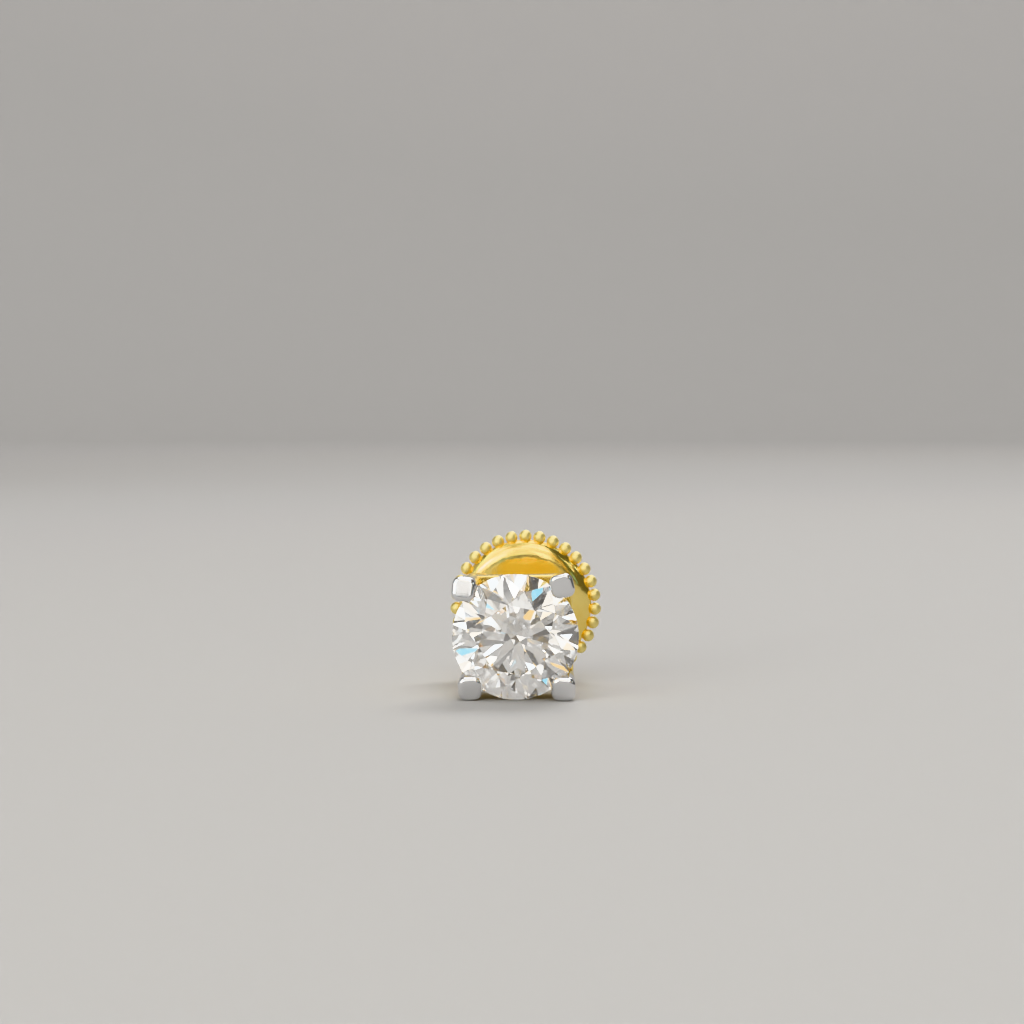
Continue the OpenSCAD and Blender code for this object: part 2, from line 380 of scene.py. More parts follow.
def rounded_square(half, corner, centre=(0.0, 0.0), twist=0.0):
    """Points of a square with rounded corners, counterclockwise. The twist is in degrees."""
    points = []
    c, s = math.cos(math.radians(twist)), math.sin(math.radians(twist))
    for quarter in range(4):
        for step in range(CORNER_STEPS + 1):
            angle = math.radians(90 * (quarter + step / CORNER_STEPS))
            side_x = math.copysign(half - corner, math.cos(math.radians(90 * quarter + 45)))
            side_y = math.copysign(half - corner, math.sin(math.radians(90 * quarter + 45)))
            x = side_x + corner * math.cos(angle)
            y = side_y + corner * math.sin(angle)
            points.append((centre[0] + c * x - s * y, centre[1] + s * x + c * y))
    return points


def quarter_steps(steps):
    """Angles from 0 to a quarter turn."""
    return [math.radians(90 * k / steps) for k in range(steps + 1)]


def arc(centre, radius, start, end, steps):
    """Points on an arc between two angles in degrees."""
    angles = [math.radians(start + (end - start) * k / steps) for k in range(steps + 1)]
    return [(centre[0] + radius * math.cos(a), centre[1] + radius * math.sin(a)) for a in angles]


print("points in a rounded square:", len(rounded_square(1.0, 0.5)))

# %% Lofts and lathes
WELD = 1e-5  # points nearer than this become one


def skin(rings, closed=False):
    """A closed mesh over a row of rings of points. Open rows are capped, closed rows join their ends."""
    mesh = bmesh.new()
    rows = [[mesh.verts.new(point) for point in ring] for ring in rings]
    count = len(rows[0])
    pairs = list(zip(rows, rows[1:]))
    if closed:
        pairs.append((rows[-1], rows[0]))
    for low, high in pairs:
        for k in range(count):
            nxt = (k + 1) % count
            mesh.faces.new((low[k], low[nxt], high[nxt], high[k]))
    if not closed:
        mesh.faces.new(rows[0])
        mesh.faces.new(rows[-1])
    bmesh.ops.remove_doubles(mesh, verts=mesh.verts, dist=WELD)
    bmesh.ops.recalc_face_normals(mesh, faces=mesh.faces)
    return mesh


def solid(name, mesh):
    """An object in the jewel's frame from a bmesh."""
    data = bpy.data.meshes.new(name)
    mesh.to_mesh(data)
    mesh.free()
    made = bpy.data.objects.new(name, data)
    bpy.context.scene.collection.objects.link(made)
    return made


def hoops(profile, sides):
    """Rings of points round Z, one for each (radius, height) of a profile, for a round loft."""
    angles = [2 * math.pi * k / sides for k in range(sides)]
    return [[(r * math.cos(a), r * math.sin(a), z) for a in angles] for r, z in profile]


def lathe(name, profile, turns):
    """A solid of revolution round Z from a closed profile of (radius, height) points."""
    rings = []
    for k in range(turns):
        c, s = math.cos(2 * math.pi * k / turns), math.sin(2 * math.pi * k / turns)
        rings.append([(r * c, r * s, z) for r, z in profile])
    return solid(name, skin(rings, closed=True))


# %% [markdown]
# ## The prongs
#
# Each prong is a square wire with rounded edges that leans out from the base plate and ends over the girdle.
# Its end is lapped flat, and the edge of that flat is broken to a small round, which draws the bright line
# along its top in the picture. The sections follow the line from foot to tip, and the last few shrink along
# a quarter of an ellipse. Prongs are set and filed by hand, so each end has a twist of its own, and the
# upper left one faces up a little.

# %% Four prongs
GIRDLE_R = 2.6
PRONG_HALF = 0.49  # half the width of a prong
PRONG_CORNER = 0.32  # radius of its long edges
TIP_Z = 0.56  # height of the flat ends
TIP_EASE = 0.19  # how far the rounding takes the end's outline in
TIP_DROP = 0.14  # and how far below the end it starts
FOOT_REACH = 1.72  # from the axis to the middle of each foot, along X and along Y
RAIL_Z = -1.22  # height of the rail's middle
TIP_STEPS = 8
LOFT_STEPS = 8

# Where each end is, in shares of the girdle's radius, the degrees that its section is twisted and the
# degrees that its flat faces up: upper left, upper right, lower right, lower left.
PRONG_TIPS = ((-0.808, 0.788), (0.745, 0.845), (0.765, -0.802), (-0.715, -0.802))
PRONG_TWISTS = (-7, 14, -3, 4)
PRONG_TILTS = (11, 0, 0, 0)


def prong_centre(tip, z):
    """The middle of a prong at a height: it leans in a straight line from its foot to its end."""
    foot = Vector((math.copysign(FOOT_REACH, tip[0]), math.copysign(FOOT_REACH, tip[1]), BASE_Z))
    end = Vector((tip[0] * GIRDLE_R, tip[1] * GIRDLE_R, TIP_Z))
    return foot.lerp(end, (z - BASE_Z) / (TIP_Z - BASE_Z))


def make_prong(name, tip, twist, end_tilt):
    """One prong. Its twist and its tilt grow from nothing at the rail to their full size at the end."""
    straight = TIP_Z - TIP_DROP - BASE_Z
    rows = [(BASE_Z + straight * k / LOFT_STEPS, 0.0) for k in range(LOFT_STEPS)]
    for a in quarter_steps(TIP_STEPS):
        rows.append((TIP_Z - TIP_DROP * (1 - math.sin(a)), TIP_EASE * (1 - math.cos(a))))
    rings = []
    for z, inset in rows:
        centre = prong_centre(tip, z)
        share = max(0.0, (z - RAIL_Z) / (TIP_Z - RAIL_Z))
        slope = share * math.tan(math.radians(end_tilt))
        outline = rounded_square(PRONG_HALF - inset, PRONG_CORNER - inset, centre, share * twist)
        rings.append([(x, y, z - slope * (y - centre.y)) for x, y in outline])
    return solid(name, skin(rings))


prongs = []
for tip, twist, end_tilt in zip(PRONG_TIPS, PRONG_TWISTS, PRONG_TILTS):
    prongs.append(make_prong(f"prong_{len(prongs)}", tip, twist, end_tilt))
print("prongs:", len(prongs))

# %% [markdown]
# ## The rail and the base plate
#
# Behind the girdle four bars tie the prongs together and make a square rail, called the gallery. The front
# edge of its upper bar is the thin bright line above the stone. Each bar lies a little inside the prongs'
# outer faces. The base plate closes the basket behind the culet and carries the post. All have softened
# edges, so that light can catch them.

# %% Rail
RAIL_INSET = 0.02  # how far a bar lies inside the prongs' outer faces
RAIL_WALL = 0.38  # width of a bar across the basket
RAIL_DEEP = 0.46  # and along the post
EDGE = 0.06  # radius of the softened edges
EDGE_STEPS = 4


def soft_rectangle(low, high, edge):
    """The outline of a rectangle between two corners, with rounded corners, counterclockwise."""
    left, bottom = low[0] + edge, low[1] + edge
    right, top = high[0] - edge, high[1] - edge
    points = []
    for quarter, centre in enumerate(((right, top), (left, top), (left, bottom), (right, bottom))):
        points += arc(centre, edge, 90 * quarter, 90 * quarter + 90, EDGE_STEPS)
    return points


def make_bar(name, tip, next_tip):
    """A bar from the middle of one prong to the middle of the next, near their outer faces."""
    start = prong_centre(tip, RAIL_Z)
    end = prong_centre(next_tip, RAIL_Z)
    along = (end - start).normalized()
    outward = Vector((-along.y, along.x, 0))
    outer = PRONG_HALF - RAIL_INSET
    section = soft_rectangle((outer - RAIL_WALL, -RAIL_DEEP / 2), (outer, RAIL_DEEP / 2), EDGE)
    rings = [[at + out * outward + Vector((0, 0, z)) for out, z in section] for at in (start, end)]
    return solid(name, skin(rings))


next_tips = PRONG_TIPS[1:] + PRONG_TIPS[:1]
bars = [make_bar(f"bar_{k}", tip, nxt) for k, (tip, nxt) in enumerate(zip(PRONG_TIPS, next_tips))]
print("bars:", len(bars))

# %% Base plate
BASE_HALF = 1.95
BASE_THICK = 0.42


def make_base():
    """A square plate whose outline shrinks round a quarter circle at its rear and at its front."""
    top = BASE_Z + BASE_THICK
    angles = quarter_steps(EDGE_STEPS)
    rows = [(BASE_Z + EDGE * (1 - math.cos(a)), EDGE * (1 - math.sin(a))) for a in angles]
    rows += [(top - EDGE * (1 - math.sin(a)), EDGE * (1 - math.cos(a))) for a in angles]
    rings = []
    for z, inset in rows:
        outline = rounded_square(BASE_HALF - inset, PRONG_CORNER - inset)
        rings.append([(x, y, z) for x, y in outline])
    return solid("base", skin(rings))


base = make_base()
print("base faces:", len(base.data.polygons))

# %% [markdown]
# ## The post and its thread
#
# The post is a wire: plain where it passes through the ear, threaded behind it. A thread is a groove that
# follows a helix, so its radius is a rule of the height and the angle. Geometry Nodes can bend a plain
# cylinder by that rule: the crest lies where height / pitch - angle / turn is a whole number, and the groove
# midway between crests. It fades in where the thread starts. The tree has the post's sizes as named inputs.

# %% A helper for trees of Geometry Nodes
def new_tree(name, sizes):
    """A Geometry Nodes tree with these named inputs. Returns the tree, its pen and a wire for each input."""
    tree = bpy.data.node_groups.new(name, "GeometryNodeTree")
    tree.interface.new_socket("Geometry", in_out="OUTPUT", socket_type="NodeSocketGeometry")
    for label, value in sizes.items():
        kind = "NodeSocketInt" if isinstance(value, int) else "NodeSocketFloat"
        tree.interface.new_socket(label, in_out="INPUT", socket_type=kind)
    entry = tree.nodes.new("NodeGroupInput")
    return tree, Wire(tree), {label: Wire(tree, entry.outputs[label]) for label in sizes}


def grow(tree, pen, geometry, material, sizes):
    """Ends the tree, runs it once with these sizes, and returns the result as a plain mesh object."""
    real = pen.node("GeometryNodeRealizeInstances", None, {0: geometry})
    dressed = pen.node("GeometryNodeSetMaterial", None, {"Geometry": real, "Material": material})
    pen.node("NodeGroupOutput", None, {0: dressed})
    holder = bpy.data.objects.new(tree.name, bpy.data.meshes.new(tree.name))
    bpy.context.scene.collection.objects.link(holder)
    modifier = holder.modifiers.new("grow", "NODES")
    modifier.node_group = tree
    for item in tree.interface.items_tree:
        if item.in_out == "INPUT":
            modifier[item.identifier] = sizes[item.name]
    evaluated = holder.evaluated_get(bpy.context.evaluated_depsgraph_get())
    holder_mesh = bpy.data.meshes.new_from_object(evaluated)
    holder.modifiers.clear()
    holder.data = holder_mesh
    return holder


# %% Thread
SHANK_END = -7.30  # height where the plain stretch ends and the thread starts
POST_END = -12.55
POST_SIDES = 72
GROOVE_SIDES = (0.12, 0.95)  # the groove's wall, from its floor to its crest, in shares of half a pitch
FADE_IN = (0.35, 0.02)  # the groove grows between these distances from the thread's start
END_ROUND = 0.16  # length of the rounded end
END_SHRINK = 0.30  # the share of its radius that the end loses
TURNS_AHEAD = 100.0  # whole turns that keep the phase above zero

thread_sizes = {
    "Radius": 0.45,
    "Depth": 0.07,
    "Pitch": 0.30,
    "Start": SHANK_END,
    "End": POST_END,
    "Sides": POST_SIDES,
    "Rows": 210,
}


def make_thread():
    """The threaded stretch of the post."""
    tree, pen, size = new_tree("thread", thread_sizes)
    length = size["Start"] - size["End"]
    cylinder = pen.node(
        "GeometryNodeMeshCylinder",
        {"fill_type": "NGON"},
        {"Vertices": size["Sides"], "Side Segments": size["Rows"], "Radius": size["Radius"], "Depth": length},
    )
    x, y, z = parts_of(pen.node("GeometryNodeInputPosition"))
    height = z + (size["Start"] + size["End"]) * 0.5
    turn = pen.math("ARCTAN2", y, x) / (2 * math.pi)
    phase = pen.math("FRACT", height / size["Pitch"] - turn + TURNS_AHEAD)
    groove = pen.math("ABSOLUTE", phase * 2 - 1).ease(*GROOVE_SIDES, 1.0, 0.0)
    fade_in = height.ease(size["Start"] - FADE_IN[0], size["Start"] - FADE_IN[1], 1.0, 0.0)
    end_round = height.ease(size["End"], size["End"] + END_ROUND, END_SHRINK, 0.0)
    shrink = 1 - (groove * fade_in * size["Depth"]) / size["Radius"] - end_round
    bent = pen.node("ShaderNodeCombineXYZ", None, {0: x * shrink, 1: y * shrink, 2: height})
    moved = pen.node("GeometryNodeSetPosition", None, {"Geometry": cylinder, "Position": bent})
    return grow(tree, pen, moved, setting_gold, thread_sizes)


thread = make_thread()
print("thread faces:", len(thread.data.polygons))

# %% Shank
SHANK_R = 0.475
SHANK_BEVEL = 0.03
CORE_R = 0.3  # radius of the caps at the shank's two ends, which lie inside the base plate and the thread
ROOT_DEEP = 0.2  # how far the shank reaches into the base plate
THREAD_OVERLAP = 0.04
SOLDER_FILLET = 0.16
SOLDER_STEPS = 8


def make_shank():
    """The plain stretch, with the solder's fillet where it leaves the base plate."""
    fillet_centre = (SHANK_R + SOLDER_FILLET, BASE_Z - SOLDER_FILLET)
    root = [(CORE_R, BASE_Z + ROOT_DEEP), (SHANK_R + SOLDER_FILLET, BASE_Z + ROOT_DEEP)]
    fillet = arc(fillet_centre, SOLDER_FILLET, 90, 180, SOLDER_STEPS)
    shoulder = [(SHANK_R, SHANK_END + SHANK_BEVEL), (SHANK_R - SHANK_BEVEL, SHANK_END)]
    end = [(CORE_R, SHANK_END - THREAD_OVERLAP)]
    return solid("shank", skin(hoops(root + fillet + shoulder + end, POST_SIDES)))


shank = make_shank()
print("shank faces:", len(shank.data.polygons))

# %% [markdown]
# ## One soldered solid
#
# The pieces of the basket overlap where they are soldered. A boolean union makes them one skin without inner
# walls, as the real cast and soldered piece is. The stone's own outline, turned round the post and a hair
# larger, is then taken out of it, which cuts the seat in each prong. That outline follows from the cut: the
# crown's facets rise at about 35 degrees and the pavilion's fall at about 41.

# %% The seat that the stone lies in
SEAT_GAP = 0.03
SEAT_SIDES = 128
AXIS_R = 1e-4  # the outline's ends stay this far off the axis, and a tiny cap closes each
TABLE_SHARE = 0.57  # of the girdle's radius
STAR_SHARE = 0.50  # of the way from the table's flats to the girdle
LOWER_SHARE = 0.23  # of the girdle's radius, where the lower facets end
GIRDLE_THIN = 0.04  # half the girdle's thickness where it is thinnest
CROWN_SLOPE = math.tan(math.radians(34.5))
PAVILION_SLOPE = math.tan(math.radians(40.8))
UPPER_SLOPE = math.tan(math.radians(40.5))  # of the upper halves, which cut scallops in the girdle
EIGHTH = math.cos(math.radians(22.5))  # the flats of eight sides, as a share of their corners' radius
SIXTEENTH = math.cos(math.radians(11.25))  # and those of sixteen sides


def seat_profile():
    """The stone's outline from the culet to the table, as (radius, height) points."""
    table_r = TABLE_SHARE * GIRDLE_R
    table_flat = table_r * EIGHTH
    star_r = table_flat + STAR_SHARE * (GIRDLE_R - table_flat)
    lower_r = LOWER_SHARE * GIRDLE_R
    girdle_z = GIRDLE_THIN + GIRDLE_R * (1 - SIXTEENTH) * UPPER_SLOPE
    return [
        (AXIS_R, -girdle_z - GIRDLE_R * PAVILION_SLOPE),
        (lower_r, -girdle_z - (GIRDLE_R - lower_r * EIGHTH) * PAVILION_SLOPE),
        (GIRDLE_R, -girdle_z),
        (GIRDLE_R, girdle_z),
        (star_r, girdle_z + (GIRDLE_R - star_r * EIGHTH) * CROWN_SLOPE),
        (table_r, girdle_z + (GIRDLE_R - table_r) * CROWN_SLOPE),
        (AXIS_R, girdle_z + (GIRDLE_R - table_r) * CROWN_SLOPE),
    ]


larger = 1 + SEAT_GAP / GIRDLE_R
seat = solid("seat", skin(hoops([(r * larger, z * larger) for r, z in seat_profile()], SEAT_SIDES)))
print("seat faces:", len(seat.data.polygons))

# %% [markdown]
# A boolean leaves small faces along the line where two pieces meet. Each piece's faces get a number of their
# own first, so that this line can be found afterwards and marked sharp. Weighted normals then keep the flats
# flat beside the rounded edges.

# %% Unite solids and finish a piece
SHARP_ANGLE = 35


def combine(target, others, operation):
    """Applies a boolean of the target with each of the others, removes those, and marks the seams sharp."""
    parts = [target] + others
    for number, part in enumerate(parts):
        part.data.materials.clear()
        for _ in parts:
            part.data.materials.append(None)
        part.data.polygons.foreach_set("material_index", [number] * len(part.data.polygons))
    for other in others:
        modifier = target.modifiers.new("join", "BOOLEAN")
        modifier.operation = operation
        modifier.solver = "EXACT"
        modifier.material_mode = "INDEX"
        modifier.object = other
        evaluated = target.evaluated_get(bpy.context.evaluated_depsgraph_get())
        data = bpy.data.meshes.new_from_object(evaluated)
        target.modifiers.clear()
        target.data = data
        bpy.data.objects.remove(other)
    mesh = bmesh.new()
    mesh.from_mesh(target.data)
    seams = 0
    for edge in mesh.edges:
        if len({face.material_index for face in edge.link_faces}) > 1:
            edge.smooth = False
            seams += 1
    mesh.to_mesh(target.data)
    mesh.free()
    print(target.name, "parts", len(parts), "seam edges", seams)
    return target


def finish_piece(piece, name, material, node, body):
    """Lays a finished solid on the table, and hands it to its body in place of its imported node."""
    piece.name = name
    piece.data.name = name
    piece.data.transform(to_table)
    piece.data.materials.clear()
    piece.data.materials.append(material)
    piece.data.polygons.foreach_set("material_index", [0] * len(piece.data.polygons))
    seams = [edge.use_edge_sharp for edge in piece.data.edges]
    piece.data.shade_smooth()
    piece.data.set_sharp_from_angle(angle=math.radians(SHARP_ANGLE))
    for edge, seam in zip(piece.data.edges, seams):
        edge.use_edge_sharp = edge.use_edge_sharp or seam
    weigh = piece.modifiers.new("weigh", "WEIGHTED_NORMAL")
    weigh.keep_sharp = True
    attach(piece, body)
    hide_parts(node)
    lowest = min((piece.matrix_world @ v.co).z for v in piece.data.vertices)
    print(name, "faces", len(piece.data.polygons), "lowest", round(lowest / MM, 4), "mm")


# %% The setting
setting = combine(base, [*bars, *prongs, shank, thread], "UNION")
setting = combine(setting, [seat], "DIFFERENCE")
finish_piece(setting, "prong_setting", setting_gold, "setting", "root")

# %% [markdown]
# ## The beaded back
#
# The back is a round plate, a tube behind it, and thirty-one little balls round the rim, which goldsmiths
# call granules. The plate's face is nearly flat and rolls down to the rim. Polishing has crowned it by less
# than a tenth of a millimetre, and that little bend shapes everything that it mirrors. A formula gives the
# face's outline: the crown is a parabola, and a high power of the radius is added to it, which is chosen so
# that the face reaches the rim at the slope of the shoulder.

# %% Plate and tube
PLATE_RISE = 0.45  # how far the face stands before the beads' middles
PLATE_THICK = 0.36
FLAT_R = 2.05  # the underside is flat up to this radius
ROLL_R = 1.10  # radius of the shoulder that rolls down to the rim
RIM_DEEP = 0.28  # height of the rim
CROWN = 0.08  # how far the face falls to the rim because of its crown
TUBE_R = 0.95
TUBE_LONG = 2.6  # how far the tube reaches behind the beads' middles
TUBE_FILLET = 0.15
BORE_R = 0.675
SOFT = 0.05  # radius of the plate's and the tube's edges
SOFT_STEPS = 4
FACE_STEPS = 40
UNDERSIDE_STEPS = 12
FILLET_STEPS = 6
PLATE_TURNS = 192

roll = math.degrees(math.asin((PLATE_R - FLAT_R) / ROLL_R))
rim_z = PLATE_RISE - ROLL_R * (1 - math.cos(math.radians(roll)))
shoulder_drop = PLATE_RISE - rim_z - CROWN
shoulder_power = (PLATE_R * math.tan(math.radians(roll)) - 2 * CROWN) / shoulder_drop


def face_profile():
    """The face from the bore to the rim, as (radius, height) points that lie closer towards the rim."""
    points = []
    for k in range(FACE_STEPS + 1):
        share = k / FACE_STEPS
        r = BORE_R + SOFT + (PLATE_R - BORE_R - SOFT) * (1 - (1 - share) ** 2)
        fall = CROWN * (r / PLATE_R) ** 2 + shoulder_drop * (r / PLATE_R) ** shoulder_power
        points.append((r, PLATE_RISE - fall))
    return points


def make_plate():
    """The plate and its tube, turned from one profile that goes round from the bore to the bore."""
    rim = arc((PLATE_R - SOFT, rim_z - RIM_DEEP + SOFT), SOFT, 0, -90, SOFT_STEPS)
    rim += arc((PLATE_R - PLATE_THICK + SOFT, rim_z - RIM_DEEP + SOFT), SOFT, -90, -180, SOFT_STEPS)
    roll_centre = (FLAT_R, PLATE_RISE - ROLL_R)
    underside = arc(roll_centre, ROLL_R - PLATE_THICK, 90 - roll, 90, UNDERSIDE_STEPS)
    fillet_centre = (TUBE_R + TUBE_FILLET, PLATE_RISE - PLATE_THICK - TUBE_FILLET)
    root = arc(fillet_centre, TUBE_FILLET, 90, 180, FILLET_STEPS)
    tube_end = arc((TUBE_R - SOFT, -TUBE_LONG + SOFT), SOFT, 0, -90, SOFT_STEPS)
    tube_end += arc((BORE_R + SOFT, -TUBE_LONG + SOFT), SOFT, -90, -180, SOFT_STEPS)
    mouth = arc((BORE_R + SOFT, PLATE_RISE - SOFT), SOFT, 180, 90, SOFT_STEPS)
    profile = face_profile() + rim + underside + root + tube_end + mouth[:-1]
    return lathe("plate", [(r, z + BACK_Z) for r, z in profile], PLATE_TURNS)


plate = make_plate()
print("plate faces:", len(plate.data.polygons))

# %% [markdown]
# The beads repeat, so Geometry Nodes put one ball on each point of a circle, starting at the top. Their
# sizes vary by a hair, because on the real rim they were melted one by one.

# %% Beads
BALL_SEGMENTS = 28
BALL_RINGS = 16

bead_sizes = {
    "Count": 31,
    "Ring radius": BEAD_RING_R,
    "Bead radius": BEAD_R,
    "Height": BACK_Z,
    "Unevenness": 0.025,
    "Seed": 4,
}


def make_beads():
    """The ring of granules, as one mesh."""
    tree, pen, size = new_tree("beads", bead_sizes)
    number = pen.node("GeometryNodeInputIndex")
    angle = number * (2 * math.pi) / size["Count"] + math.radians(90)
    x = pen.math("COSINE", angle) * size["Ring radius"]
    y = pen.math("SINE", angle) * size["Ring radius"]
    at = pen.node("ShaderNodeCombineXYZ", None, {0: x, 1: y, 2: size["Height"]})
    points = pen.node("GeometryNodePoints", None, {"Count": size["Count"], "Position": at})
    ball = pen.node(
        "GeometryNodeMeshUVSphere",
        None,
        {"Segments": BALL_SEGMENTS, "Rings": BALL_RINGS, "Radius": size["Bead radius"]},
    )
    # Inputs 2 and 3 of a Random Value node are the limits of a number, and output 1 is the number.
    scale = pen.node(
        "FunctionNodeRandomValue",
        {"data_type": "FLOAT"},
        {2: 1 - size["Unevenness"], 3: 1, "Seed": size["Seed"]},
        output=1,
    )
    balls = {"Points": points, "Instance": ball, "Scale": scale}
    placed = pen.node("GeometryNodeInstanceOnPoints", None, balls)
    return grow(tree, pen, placed, back_gold, bead_sizes)


beads = make_beads()
back = combine(plate, [beads], "UNION")
finish_piece(back, "beaded_back", back_gold, "screw_back", "back")

# %% [markdown]
# Inside the tube is the thread that runs on the post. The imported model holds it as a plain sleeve, which can
# stay as it is, because only its two ends can be seen.

# %% The thread in the tube
sleeve = frame["nodes"]["back_thread"]
sleeve.data.materials.clear()
sleeve.data.materials.append(back_gold)
print("the sleeve has", len(sleeve.data.polygons), "triangles")

# %% [markdown]
# ## The table and its round wall
#
# The earring stands on a plain pale table that curves up into a round wall behind it and on its left.
# Polished gold shows little of itself and much of the room, so it matters where the wall ends: on the right
# and in front the room is open and dark, which gives the gold its deep tones and the stone its dark facets.
# The sizes of the room and of its lamps are in metres.

# %% Table and wall
TABLE_COLOUR = (0.48, 0.468, 0.455, 1)
TABLE_ROUGHNESS = 0.8
TABLE_R = 0.45
TABLE_SIDES = 96
SWEEP_R = 0.17
SWEEP_STEPS = 24
WALL_TOP = 0.55
WALL_START = 20  # degrees from the right, counterclockwise from above
WALL_TURN = 240
WALL_STEPS = 80


def make_stage():
    """A flat round table and a wall that sweeps up from its edge, from the right round the back and left."""
    mesh = bmesh.new()
    floor_edge = []
    for k in range(TABLE_SIDES):
        angle = 2 * math.pi * k / TABLE_SIDES
        floor_edge.append(mesh.verts.new((TABLE_R * math.cos(angle), TABLE_R * math.sin(angle), 0)))
    mesh.faces.new(floor_edge)
    profile = arc((TABLE_R, SWEEP_R), SWEEP_R, -90, 0, SWEEP_STEPS)
    profile.append((TABLE_R + SWEEP_R, WALL_TOP))
    turns = [math.radians(WALL_START + WALL_TURN * k / WALL_STEPS) for k in range(WALL_STEPS + 1)]
    rows = []
    for r, z in profile:
        rows.append([mesh.verts.new((r * math.cos(t), r * math.sin(t), z)) for t in turns])
    for k in range(WALL_STEPS):
        for low, high in zip(rows, rows[1:]):
            mesh.faces.new((low[k], high[k], high[k + 1], low[k + 1]))
    table = solid("table", mesh)
    table.data.shade_smooth()
    return table


table = make_stage()
table_paint = bpy.data.materials.new("table")
table_paint.use_nodes = True
table_shader = table_paint.node_tree.nodes["Principled BSDF"]
table_shader.inputs["Base Color"].default_value = TABLE_COLOUR
table_shader.inputs["Roughness"].default_value = TABLE_ROUGHNESS
table.data.materials.append(table_paint)
print("the wall stands", TABLE_R + SWEEP_R, "m away")

# %% [markdown]
# ## The light
#
# One large window of soft light hangs in front, from the left to just past the middle. It makes the bright
# crescent on the shoulder of the back, which ends where the window ends. Its panes differ much in brightness
# and a little in warmth, and clouds show behind them, so the stone's facets differ too. Each lamp is placed
# by its direction and distance from the stone. Its strength is its radiance, which is how bright it looks in
# a facet, whatever its size.

# %% Lamps and clouds
WHITE = (1.0, 1.0, 1.0)
CLOUD_SCALE = 75.0  # about so many clouds to the metre
CLOUD_EDGES = (0.32, 0.68)  # the noise values of the dimmest and the brightest places
CLOUD_GLOW = (0.05, 1.9)  # what the strength is multiplied by in those places


def toward(azimuth, elevation, distance):
    """A place seen from the stone. Azimuth 0 is in front of it, and positive is to its right."""
    a, e = math.radians(azimuth), math.radians(elevation)
    return distance * Vector((math.sin(a) * math.cos(e), -math.cos(a) * math.cos(e), math.sin(e)))


def lamp(name, away, size, radiance, colour=WHITE, back=None):
    """A rectangular lamp there. It faces the stone, or else away from the direction of its back."""
    light = bpy.data.lights.new(name, "AREA")
    light.shape = "RECTANGLE"
    light.size, light.size_y = size
    light.energy = radiance * math.pi * size[0] * size[1]
    light.color = colour
    made = bpy.data.objects.new(name, light)
    bpy.context.scene.collection.objects.link(made)
    made.location = girdle_centre + away
    made.rotation_euler = (back or away).to_track_quat("Z", "Y").to_euler()
    return light


def add_clouds(light):
    """Makes a lamp's strength change over its face in soft patches, which run on from lamp to lamp."""
    light.use_nodes = True
    pen = Wire(light.node_tree)
    place = pen.node("ShaderNodeNewGeometry")
    strength = noise(place, scale=CLOUD_SCALE, detail=3.0).ease(*CLOUD_EDGES, *CLOUD_GLOW)
    light.node_tree.links.new(strength.socket, light.node_tree.nodes["Emission"].inputs["Strength"])


# %% The window
WARM = Vector((1.0, 0.94, 0.85))
COOL = Vector((0.90, 0.96, 1.0))
WINDOW_AZIMUTH = -18
WINDOW_ELEVATION = 35
WINDOW_FAR = 0.36
PANE = (0.085, 0.10)
BAR = 0.006  # width of the bars between the panes
COLUMNS = 5
ROWS = 4
PANE_GLOW = (0.45, 2.6)  # radiance of the dimmest and the brightest pane

random.seed(11)
window_middle = toward(WINDOW_AZIMUTH, WINDOW_ELEVATION, WINDOW_FAR)
window_side = toward(WINDOW_AZIMUTH + 90, 0, 1)
window_down = window_side.cross(window_middle).normalized()
for column in range(COLUMNS):
    for row in range(ROWS):
        right = (column - (COLUMNS - 1) / 2) * PANE[0]
        up = (row - (ROWS - 1) / 2) * PANE[1]
        away = window_middle + right * window_side - up * window_down
        colour = WARM.lerp(COOL, random.random())
        glow = random.uniform(*PANE_GLOW)
        add_clouds(lamp(f"pane_{column}_{row}", away, (PANE[0] - BAR, PANE[1] - BAR), glow, colour))
print("panes:", COLUMNS * ROWS)

# %% [markdown]
# A diamond also parts white light, and shows a few blue and amber flashes. Following each colour by its own
# path would take far more samples, so the light is parted before it reaches the stone: the window has a blue
# and an amber edge. Two small blue lamps make a blue flash at the upper right of the stone and one at its
# lower left. A small sun brightens the left of the crescent, and a lamp above and one behind light the table
# and the rear of the basket.

# %% Coloured edges and single lamps
BLUE = (0.30, 0.78, 1.0)
AMBER = (1.0, 0.68, 0.25)
FRINGE = 0.02  # width of a coloured edge, and the size of a coloured spark
FRINGE_GLOW = 1.4

# Name, azimuth, elevation, distance, width, height, radiance and colour.
SINGLE_LAMPS = (
    ("sun", -34, 14, 0.33, 0.07, 0.045, 9.0, WARM),
    ("top", 0, 86, 0.40, 0.26, 0.26, 2.8, WHITE),
    ("rear", 165, 50, 0.40, 0.20, 0.16, 6.5, WHITE),
    ("blue_flash_right", 29, 5.5, 0.31, 0.02, 0.02, 1.35, BLUE),
    ("blue_flash_left", -9.3, 2.4, 0.31, 0.013, 0.013, 1.3, BLUE),
)

edge = (COLUMNS * PANE[0] + FRINGE) / 2
edge_size = (FRINGE, ROWS * PANE[1])
lamp("blue_edge", window_middle - edge * window_side, edge_size, FRINGE_GLOW, BLUE)
lamp("amber_edge", window_middle + edge * window_side, edge_size, FRINGE_GLOW, AMBER)
for name, azimuth, elevation, far, width, height, radiance, colour in SINGLE_LAMPS:
    lamp(name, toward(azimuth, elevation, far), (width, height), radiance, colour)
print("single lamps:", len(SINGLE_LAMPS))

# %% [markdown]
# The wall is a part of what the gold mirrors, so it has lamps of its own. They hang before it, high up, and
# face outwards and down, so none of their light falls on the earring itself.

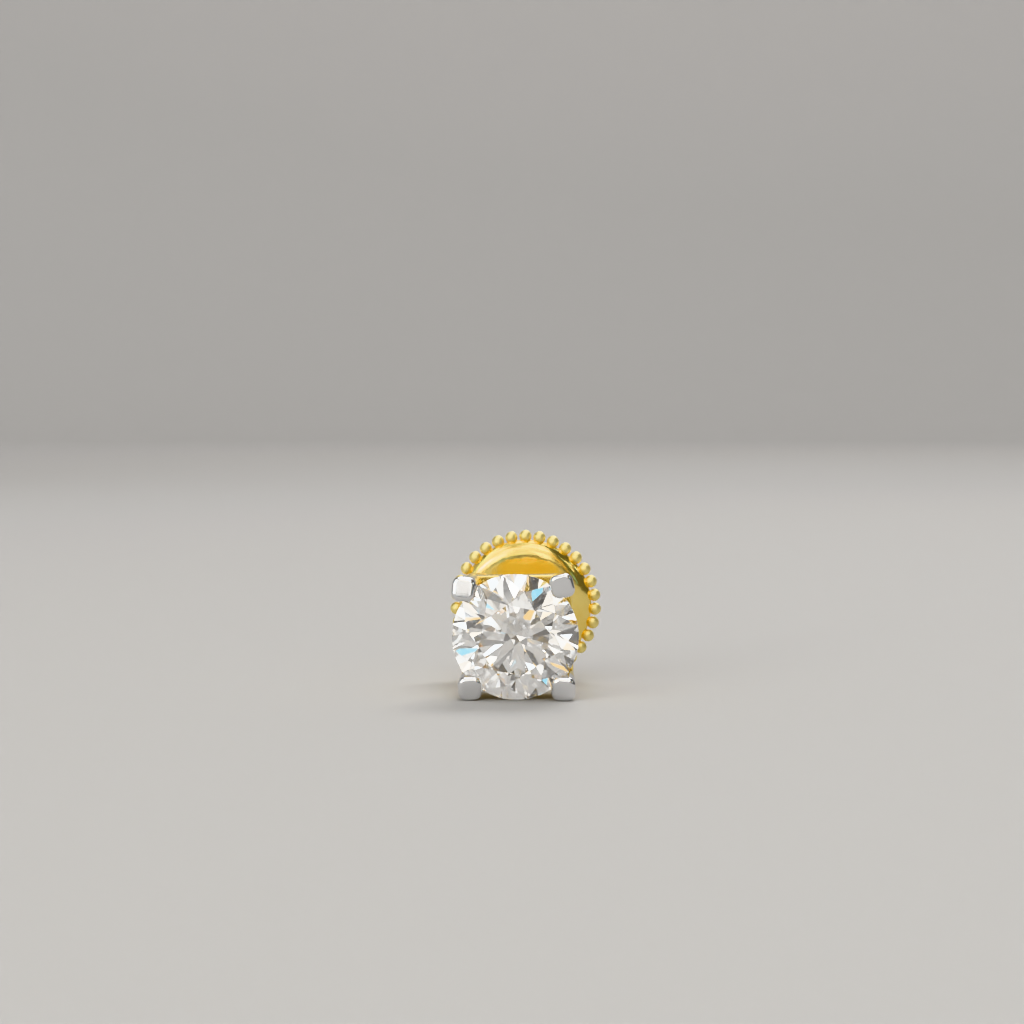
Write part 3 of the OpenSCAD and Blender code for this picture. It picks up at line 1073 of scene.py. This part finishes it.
# %% Lamps for the wall
WASH_TURNS = (40, 90, 140, 190, 240)  # degrees from the right, as the wall's
WASH_FAR = 0.36
WASH_UP = 0.30
WASH_LEAN = 0.15  # the lamps' backs rise by this much over WASH_FAR
WASH_SIZE = (0.25, 0.08)
WASH_GLOW = 7.0

for turn in WASH_TURNS:
    outward = toward(turn + 90, 0, WASH_FAR)
    away = outward + Vector((0, 0, WASH_UP))
    lamp(f"wall_wash_{turn}", away, WASH_SIZE, WASH_GLOW, back=Vector((0, 0, WASH_LEAN)) - outward)
print("wall lamps:", len(WASH_TURNS))

# %% [markdown]
# Small bright sparks are strewn over the room in front, as windows and lamps far away would be. Each has a
# blue and an amber neighbour, so that some facets flash white, blue or amber in every view.

# %% Sparks
SPARKS = 10
SPARK_AZIMUTHS = (-70, 70)
SPARK_ELEVATIONS = (0, 66)
SPARK_FAR = 0.31
SPARK_SIZE = 0.010
SPARK_GLOW = 8.0
SPARK_SPLIT = 3  # degrees between a spark and each of its coloured neighbours

for k in range(SPARKS):
    azimuth = random.uniform(*SPARK_AZIMUTHS)
    elevation = random.uniform(*SPARK_ELEVATIONS)
    blue_place = toward(azimuth - SPARK_SPLIT, elevation, SPARK_FAR)
    amber_place = toward(azimuth + SPARK_SPLIT, elevation, SPARK_FAR)
    lamp(f"spark_{k}", toward(azimuth, elevation, SPARK_FAR), (SPARK_SIZE, SPARK_SIZE), SPARK_GLOW)
    lamp(f"blue_spark_{k}", blue_place, (FRINGE, FRINGE), FRINGE_GLOW, BLUE)
    lamp(f"amber_spark_{k}", amber_place, (FRINGE, FRINGE), FRINGE_GLOW, AMBER)

# %% The open room
ROOM_COLOUR = (0.13, 0.125, 0.12, 1)

world = bpy.data.worlds.new("room")
bpy.context.scene.world = world
world.use_nodes = True
world.node_tree.nodes["Background"].inputs["Color"].default_value = ROOM_COLOUR
world.node_tree.nodes["Background"].inputs["Strength"].default_value = 1.0
print("world:", world.name)

# %% [markdown]
# ## Light paths
#
# A ray that enters the stone is thrown about inside it many times before it leaves, and the basket's gold
# reflects it again. With fewer bounces some facets would go black, so the limits are high. The view
# transform is one that keeps the hue of bright gold, where others would bleach it.

# %% Render settings that belong to the look
STONE_BOUNCES = 32
GOLD_BOUNCES = 24
TABLE_BOUNCES = 4
EXPOSURE = 0.15

scene = bpy.context.scene
scene.cycles.max_bounces = STONE_BOUNCES
scene.cycles.diffuse_bounces = TABLE_BOUNCES
scene.cycles.glossy_bounces = GOLD_BOUNCES
scene.cycles.transmission_bounces = STONE_BOUNCES
scene.cycles.use_denoising = True
scene.view_settings.view_transform = "Khronos PBR Neutral"
scene.view_settings.look = "None"
scene.view_settings.exposure = EXPOSURE
print("bounces:", scene.cycles.max_bounces)
